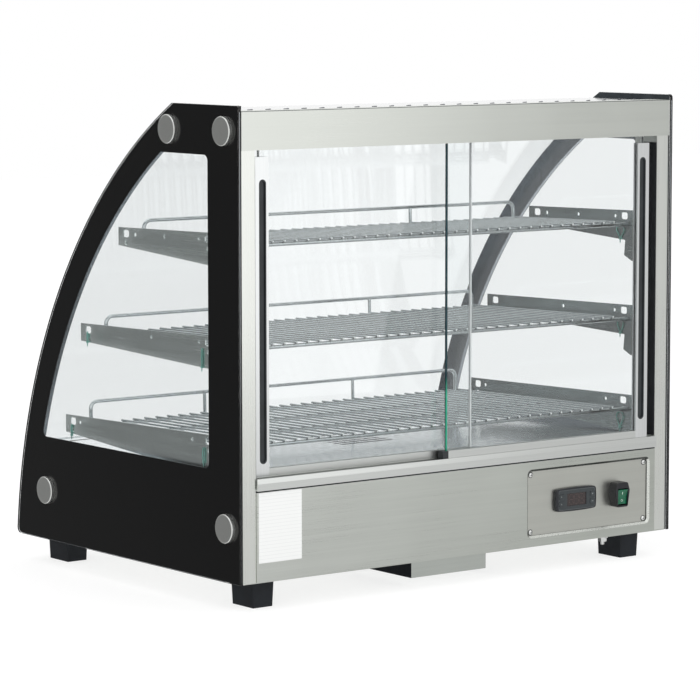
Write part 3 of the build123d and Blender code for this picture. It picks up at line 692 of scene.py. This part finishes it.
key_ink = moulded("key_print_grey", (0.2, 0.22, 0.22), 0.45)
to_the_rear = Matrix.Rotation(math.radians(-90), 4, "X")
print_depth = 0.0001
arrow_radius = 0.0014
dot_radius = 0.001
half_dash = Vector((0.0015, print_depth / 2, 0.0004))
for number, key in enumerate(keys, start=1):
    key_low, key_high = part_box(key)
    middle = Vector(((key_low.x + key_high.x) / 2, key_high.y, (key_low.z + key_high.z) / 2))
    mark = bmesh.new()
    if number in (1, 2):
        turn = Matrix.Rotation(math.radians(90 if number == 1 else -90), 4, "Y")
        add_disc(mark, arrow_radius, print_depth, 3, Matrix.Translation(middle) @ turn @ to_the_rear)
    elif number == 3:
        add_disc(mark, dot_radius, print_depth, 16, Matrix.Translation(middle) @ to_the_rear)
    else:
        add_block(mark, middle - half_dash, middle + half_dash)
    keep_piece(mark, f"key_mark_{number}", key_ink, f"key_{number}")

# Jamb strips
# Black pile strips glued to the inner flange of each post, which the doors close against.
pile = moulded("black_pile", (0.012, 0.013, 0.016), 0.85, grain=2600, depth=0.0003)
track_low, track_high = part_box("lower_track")
post_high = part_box("rear_posts")[1]
stile_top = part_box("door_inner_handle")[1].z
flange_width = 0.021
strip_thickness = 0.0005
jamb = post_high.x - flange_width
for side, hand, short_by in ((-1, "left", 0.0), (1, "right", 0.012)):
    foot = (side * (jamb - strip_thickness), post_high.y - 0.026, track_high.z + 0.0005)
    head = (side * jamb, post_high.y - 0.001, stile_top - short_by)
    keep_block(foot, head, f"jamb_strip_{hand}", pile, "cabinet")

# Bent front pane
# One sheet of 5 mm glass, sagged over a form to the bow of the side panes and held in its silicone seals.
front_low, front_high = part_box("front_glass")
bow_centre = Vector((0, panel_high.y + 0.218, panel_low.z - 0.0552))
bow_outside = 0.739
bow_inside = 0.734
spare_angle = 0.01
low_angle = math.asin((front_low.z - bow_centre.z) / bow_outside) - spare_angle
high_angle = math.asin((front_high.z - bow_centre.z) / bow_inside) + spare_angle
section = (
    Matrix.Translation(bow_centre)
    @ Matrix.Rotation(-low_angle, 4, "X")
    @ Matrix.Translation((0, -(bow_outside + bow_inside) / 2, 0))
    @ Matrix.Diagonal((front_high.x - front_low.x, bow_outside - bow_inside, 1, 1))
)
bent_pane = bmesh.new()
bmesh.ops.create_grid(bent_pane, x_segments=1, y_segments=1, size=0.5, matrix=section)
sweep = {"cent": bow_centre, "axis": (1, 0, 0), "angle": low_angle - high_angle, "steps": 96}
bmesh.ops.spin(bent_pane, geom=bent_pane.verts[:] + bent_pane.edges[:] + bent_pane.faces[:], **sweep)
for height, outwards in ((front_low.z, -1), (front_high.z, 1)):
    parts = bent_pane.verts[:] + bent_pane.edges[:] + bent_pane.faces[:]
    cut = {"plane_co": (0, 0, height), "plane_no": (0, 0, outwards), "clear_outer": True}
    bmesh.ops.bisect_plane(bent_pane, geom=parts, dist=1e-6, **cut)
    bmesh.ops.holes_fill(bent_pane, edges=[edge for edge in bent_pane.edges if edge.is_boundary], sides=8)
bmesh.ops.recalc_face_normals(bent_pane, faces=bent_pane.faces)
bent_piece = keep_piece(bent_pane, "bent_front_pane", pane_glass, "cabinet")
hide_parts("front_glass")


# Ground edges of the door panes
# The free edges are ground and show the glass's own green, with light painted over it: the outer edge is
# bright green low down and dark above, with a painted shadow on its arris. The inner edge and both panes' far
# ends above the stiles are painted white as highlights.
def edge_with_painted_light(name, upper, lower, change=0.262, softness=0.012):
    """Colour of an edge with painted light and shade, which turns from lower to upper about a height."""
    material, tree, shader, place = new_finish(name)
    share = between(tree, coordinate(tree, place, "Z"), 0.0, 1.0, change - softness, change + softness)
    scratches = noise(tree, stretched(tree, place, (900, 900, 40)), 1, 2)
    surface = {
        "Base Color": shade_between(tree, share, lower, upper, 0.0, 1.0),
        "Roughness": between(tree, scratches, 0.15, 0.3),
    }
    set_inputs(tree, shader, surface)
    return material


green_edge_light_and_shade = edge_with_painted_light("green_glass_edge_painted_light", (0.03, 0.075, 0.09), (0.06, 0.62, 0.38))
shadow_edge = edge_with_painted_light("dark_glass_edge", (0.016, 0.034, 0.042), (0.006, 0.012, 0.014))
highlight_edge = edge_with_painted_light("glass_edge_painted_highlight", (0.96, 0.98, 0.98), (0.94, 0.97, 0.96))
rail_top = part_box("door_outer_rail")[1].z
edge_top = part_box("header")[0].z - 0.001
edge_film = 0.0003
arris = 0.0002
outer_low, outer_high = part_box("door_outer_glass")
inner_low, inner_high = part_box("door_inner_glass")
outer_end = (outer_high.x, outer_high.x + edge_film)
outer_step = outer_low.y + 0.0019
outer_sides = (outer_step, outer_high.y - arris)
arris_sides = (outer_low.y + arris, outer_step)
inner_end = (inner_low.x - edge_film, inner_low.x + 0.0018)
inner_sides = (inner_low.y - 0.0001, inner_high.y + 0.0001)
head_foot = stile_top - 0.002
outer_head_end = (outer_low.x - edge_film, outer_low.x)
inner_head_end = (inner_high.x, inner_high.x + edge_film)
outer_head_sides = (outer_low.y + arris, outer_high.y - arris)
inner_head_sides = (inner_low.y + arris, inner_high.y - arris)
glass_ends = (
    ("door_outer", "edge", green_edge_light_and_shade, outer_end, outer_sides, rail_top),
    ("door_outer", "arris", shadow_edge, outer_end, arris_sides, rail_top),
    ("door_inner", "edge", highlight_edge, inner_end, inner_sides, rail_top),
    ("door_outer", "head_edge", highlight_edge, outer_head_end, outer_head_sides, head_foot),
    ("door_inner", "head_edge", highlight_edge, inner_head_end, inner_head_sides, head_foot),
)
for door, part, finish, end, sides, foot in glass_ends:
    low = (end[0], sides[0], foot)
    high = (end[1], sides[1], edge_top)
    keep_block(low, high, f"{door}_{part}", finish, door)

# Arrises of the side panes
# The rear edge of each side pane is ground flat. The line along its middle, where two arrises meet, is a
# painted highlight, bright above and dark lower down.
arris_highlight_finish = edge_with_painted_light("pane_arris_highlight", (0.4, 0.43, 0.45), (0.05, 0.055, 0.06), change=0.3, softness=0.12)
pane_low, pane_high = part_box("side_glass_right")
pane_middle = (pane_low.x + pane_high.x) / 2
half_line = 0.0003
for side, hand in ((-1, "left"), (1, "right")):
    low = (side * pane_middle - half_line, pane_high.y, pane_low.z + 0.004)
    high = (side * pane_middle + half_line, pane_high.y + arris, pane_high.z - 0.008)
    keep_block(low, high, f"pane_arris_{hand}", arris_highlight_finish, "cabinet")

# Cable ties
# Thin translucent nylon ties through the brackets' slots, pulled round the ends of the shelves' rods. Each
# is given by its place from the rear panel and the pan, half its width and its drop.
tie_finish = moulded("tie_nylon", (0.24, 0.58, 0.5), 0.35)
sheet_thickness = 0.0012
rear_face = panel_high.y
underside = panel_low.z - sheet_thickness
left_ties = (
    (-0.0875, 0.4138, 0.0115, 0.0178),
    (-0.0862, 0.2832, 0.0092, 0.0178),
    (-0.0852, 0.1553, 0.0101, 0.0212),
)
right_ties = (
    (-0.3573, 0.2882, 0.0012, 0.0133),
    (-0.3980, 0.1608, 0.0014, 0.0140),
    (-0.0931, 0.2886, 0.0010, 0.0233),
    (-0.0905, 0.1630, 0.0020, 0.0180),
)
tie_radius = 0.0008
widest_straight_tie = 0.002
knot = 0.0015
tail_end = 0.0058
around = {"cent": (0, 0, 0), "axis": (1, 0, 0), "angle": math.radians(360), "steps": 32}
for hand, x, ties in (("left", -0.3452, left_ties), ("right", 0.3492, right_ties)):
    for number, (y, z, half_width, drop) in enumerate(ties, start=1):
        tie = bmesh.new()
        bmesh.ops.create_circle(tie, segments=8, radius=tie_radius, matrix=Matrix.Translation((0, 1, 0)))
        bmesh.ops.spin(tie, geom=tie.verts[:] + tie.edges[:], use_merge=True, **around)
        for vertex in tie.verts:
            length = math.hypot(vertex.co.y, vertex.co.z)
            around_y = vertex.co.y / length
            around_z = vertex.co.z / length
            out = length - 1.0
            narrowing = 0.55 + 0.45 * around_z if half_width > widest_straight_tie else 1.0
            vertex.co.y = around_y * (half_width * narrowing + out)
            vertex.co.z = around_z * (drop / 2 + out) - drop / 2
        bmesh.ops.recalc_face_normals(tie, faces=tie.faces)
        add_block(tie, (-knot, -knot, -drop - knot), (knot, knot, -drop + knot), corner=0.0004)
        tail_low = (-0.0005, -0.0009, -drop - tail_end)
        tail_high = (0.0005, 0.0003, -drop - knot)
        add_block(tie, tail_low, tail_high, corner=0.0002)
        hangs_at = Matrix.Translation((x, rear_face + y, underside + z))
        bmesh.ops.transform(tie, matrix=hangs_at, verts=tie.verts)
        keep_piece(tie, f"cable_tie_{hand}_{number}", tie_finish, "cabinet")

# Earth screw
# A hexagonal screw and washer under the pan, by the foot below the mains switch. Each part is given by its
# radius, its depth, the drop of its middle and its number of sides.
earth_place = Vector((-0.248, rear_face - 0.0085, underside))
washer = (0.0075, 0.0012, 0.0006, 24)
hexagon = (0.0058, 0.0052, 0.0038, 6)
shank_end = (0.0026, 0.0042, 0.0085, 16)
earth_screw = bmesh.new()
for radius, depth, drop, segments in (washer, hexagon, shank_end):
    add_disc(earth_screw, radius, depth, segments, Matrix.Translation(earth_place - Vector((0, 0, drop))))
keep_piece(earth_screw, "earth_screw", hardware, "cabinet", 30)

# Pan-headed screws of the control plate
# Pressed stainless heads. The cross recess of each and a thin ring where it beds on the plate are black
# pieces, a painted shade.
screws_low, screws_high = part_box("control_plate_screws")
plate_low, plate_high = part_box("control_plate")
head_inset = 0.004
head_radius = 0.0036
head_squash = Matrix.Diagonal((1, 1, 0.6, 1))
ring_outside = 0.0041
cross_floor = 0.0018
cross_top = 0.00222
cross_arm = 0.0012
cross_half_width = 0.0003
screws = bmesh.new()
screw_shade_marks = bmesh.new()
for x in (screws_low.x + head_inset, screws_high.x - head_inset):
    for z in (screws_low.z + head_inset, screws_high.z - head_inset):
        beds_at = Vector((x, plate_high.y, z))
        ball = {"u_segments": 24, "v_segments": 12, "radius": head_radius}
        ball_place = Matrix.Translation(beds_at) @ to_the_rear @ head_squash
        made = bmesh.ops.create_uvsphere(screws, matrix=ball_place, **ball)
        parts = set(made["verts"])
        for vertex in made["verts"]:
            parts.update(vertex.link_edges, vertex.link_faces)
        cut = {"plane_co": beds_at, "plane_no": (0, -1, 0), "clear_outer": True}
        bmesh.ops.bisect_plane(screws, geom=list(parts), dist=1e-7, **cut)
        for across, upright in ((cross_arm, cross_half_width), (cross_half_width, cross_arm)):
            cross_low = beds_at + Vector((-across, cross_floor, -upright))
            cross_high = beds_at + Vector((across, cross_top, upright))
            add_block(screw_shade_marks, cross_low, cross_high)
        ring_place = Matrix.Translation(beds_at + Vector((0, 0.0001, 0))) @ to_the_rear
        add_disc(screw_shade_marks, ring_outside, 0.0003, 24, ring_place)
bmesh.ops.holes_fill(screws, edges=[edge for edge in screws.edges if edge.is_boundary], sides=32)
head_piece = keep_piece(screws, "control_plate_screw_heads", hardware, "cabinet", 40)
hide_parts("control_plate_screws")
# The black nylon finish here is painted shade in the recesses and round the heads.
keep_piece(screw_shade_marks, "control_plate_screw_shade", black_nylon, "cabinet")


# Sloping edge of the pressed recess
# The rear panel's sheet runs down to the control plate in a short slope, with the corners drawn round. Its
# light and dark sides are painted by the way each face turns.
def slope_by_light(name, dark, light):
    """Sheet with painted light and shade: light where it faces up or to the right, and dark where it faces
    away.
    """
    material, tree, shader, place = new_finish(name)
    lit_from = Vector((0.7, 0.0, 0.7))
    normal = add_node(tree, "NewGeometry").outputs["Normal"]
    towards_light = combine(tree, "DOT_PRODUCT", normal, lit_from)
    drawn = noise(tree, place, 400, 2)
    surface = {
        "Metallic": 0.6,
        "Base Color": shade_between(tree, towards_light, dark, light, 0.0, 0.12),
        "Roughness": between(tree, drawn, 0.25, 0.35),
    }
    set_inputs(tree, shader, surface)
    return material


plate_middle = (plate_low + plate_high) / 2
recess_margin = 0.0002
recess_width = plate_high.x - plate_low.x + 2 * recess_margin
recess_height = plate_high.z - plate_low.z + 2 * recess_margin
slope_run = 0.003
slope_depth = panel_high.y - plate_high.y - sheet_thickness
recess_place = (
    Matrix.Translation((plate_middle.x, panel_high.y - 0.00005, plate_middle.z))
    @ to_the_rear
    @ Matrix.Diagonal((recess_width, recess_height, 1, 1))
)
recess = bmesh.new()
bmesh.ops.create_grid(recess, x_segments=1, y_segments=1, size=0.5, matrix=recess_place)
rounded = {"offset": 0.0078, "segments": 8, "profile": 0.5, "affect": "VERTICES", "material": -1}
bmesh.ops.bevel(recess, geom=recess.verts[:], **rounded)
floor_face = recess.faces[:]
depth = -slope_depth if floor_face[0].normal.y > 0 else slope_depth
slope = {"thickness": slope_run, "depth": depth, "use_boundary": True, "use_even_offset": True}
bmesh.ops.inset_region(recess, faces=floor_face, **slope)
bmesh.ops.delete(recess, geom=floor_face, context="FACES")
bmesh.ops.solidify(recess, geom=recess.faces[:], thickness=0.00015)
bmesh.ops.recalc_face_normals(recess, faces=recess.faces)
slope_finish = slope_by_light("steel_recess_edge", (0.05, 0.055, 0.05), (0.66, 0.68, 0.64))
keep_piece(recess, "recess_edge", slope_finish, "cabinet", 30)

# Shade under the lower track
# A black strip in the gap between the track's rear lip and the rear panel's top edge, a painted shade for
# that gap.
gap_shade_low = (track_low.x + 0.0005, panel_high.y - 0.006, panel_high.z)
gap_shade_high = (track_high.x - 0.0005, panel_high.y + 0.0004, panel_high.z + 0.0017)
keep_block(gap_shade_low, gap_shade_high, "track_gap_shade", pile, "cabinet", corner=0.0002)

# Floor
# A pale seamless floor. It shows as white to the camera and through the glass, keeps a soft shadow, and is
# open to mirrored rays, so that metal shows the surround below it too.
floor_mesh = bmesh.new()
bmesh.ops.create_grid(floor_mesh, x_segments=1, y_segments=1, size=8)
floor_data = bpy.data.meshes.new("floor")
floor_mesh.to_mesh(floor_data)
floor_mesh.free()
floor = bpy.data.objects.new("floor", floor_data)
bpy.context.scene.collection.objects.link(floor)
floor_material, tree, shader = new_finish("floor_paper")[:3]
set_inputs(tree, shader, {"Base Color": (0.8, 0.8, 0.8, 1), "Roughness": 0.9, "Specular IOR Level": 0.0})
glow = add_node(tree, "Emission", inputs={"Color": (1, 1, 1, 1), "Strength": 1.25}).outputs[0]
glow_share = 0.6
rays = add_node(tree, "LightPath").outputs
seen = calculate(tree, "MAXIMUM", rays["Is Camera Ray"], rays["Is Transmission Ray"])
paper = mix_shaders(tree, calculate(tree, "MULTIPLY", seen, glow_share), shader.outputs[0], glow)
clear = add_node(tree, "BsdfTransparent").outputs[0]
open_to_gloss = mix_shaders(tree, rays["Is Glossy Ray"], paper, clear)
tree.links.new(open_to_gloss, tree.nodes["Material Output"].inputs["Surface"])
floor_data.materials.append(floor_material)

# Studio
# A plain white surround and two large soft lamps. In gloss the surround is a little darker at its two far
# ends, as in a real studio.
world = bpy.data.worlds.new("studio")
bpy.context.scene.world = world
world.use_nodes = True
tree = world.node_tree
direction = add_node(tree, "TexCoord").outputs["Generated"]
dim_towards = Vector((0.66, -0.74, -0.1)).normalized()
along = between(tree, combine(tree, "DOT_PRODUCT", direction, dim_towards), 0.0, 1.0, -1.0, 1.0)
levels = add_node(tree, "ValToRGB", inputs={"Fac": along})
stops = levels.color_ramp.elements
for position, brightness in ((0.32, 0.95), (0.8, 1.0), (0.96, 0.4)):
    stops.new(position).color = (brightness, brightness, brightness, 1)
stops[0].position = 0.03
stops[0].color = (0.62, 0.62, 0.62, 1)
stops[-1].color = (0.14, 0.14, 0.14, 1)
mirrored_ray = add_node(tree, "LightPath").outputs["Is Glossy Ray"]
surround = mix_colours(tree, mirrored_ray, (1, 1, 1, 1), levels.outputs["Color"])
set_inputs(tree, tree.nodes["Background"], {"Color": surround, "Strength": 1.0})


def soft_lamp(name, place, aim, size, radiance):
    """A rectangular lamp that faces a point. Its power follows from its size and its brightness."""
    data = bpy.data.lights.new(name, "AREA")
    data.shape = "RECTANGLE"
    data.size = size[0]
    data.size_y = size[1]
    data.energy = radiance * math.pi * size[0] * size[1]
    lamp = bpy.data.objects.new(name, data)
    bpy.context.scene.collection.objects.link(lamp)
    lamp.location = place
    lamp.rotation_mode = "QUATERNION"
    lamp.rotation_quaternion = (Vector(place) - Vector(aim)).to_track_quat("Z", "Y")


soft_lamp("overhead_lamp", (0.2, 0.3, 2.6), (0, 0, 0.3), size=(2.4, 2.0), radiance=0.5)
soft_lamp("rear_lamp", (-0.35, 1.5, 0.75), (-0.2, 0.2, 0.3), size=(1.2, 1.5), radiance=0.6)

# Camera
# At the photograph's place, found by fitting a camera to points on the cabinet's edges.
azimuth = math.radians(142.651)
elevation = math.radians(6.197)
roll = math.radians(-0.03)
distance = 4.46404
target = Vector((0.03609, rear_face - 0.2, underside + 0.25659))
level_reach = math.cos(elevation)
back = Vector((math.sin(azimuth) * level_reach, -math.cos(azimuth) * level_reach, math.sin(elevation)))
camera_data = bpy.data.cameras.new("camera")
camera_data.sensor_width = 36
camera_data.lens = 171.185
camera = bpy.data.objects.new("camera", camera_data)
bpy.context.scene.collection.objects.link(camera)
across = Vector((0, 0, 1)).cross(back).normalized()
upward = back.cross(across)
turned_across = across * math.cos(roll) + upward * math.sin(roll)
turned_upward = upward * math.cos(roll) - across * math.sin(roll)
axes = Matrix((turned_across, turned_upward, back)).transposed()
camera.matrix_world = Matrix.Translation(target + back * distance) @ axes.to_4x4()
bpy.context.scene.camera = camera
bpy.context.scene.view_settings.view_transform = "Standard"
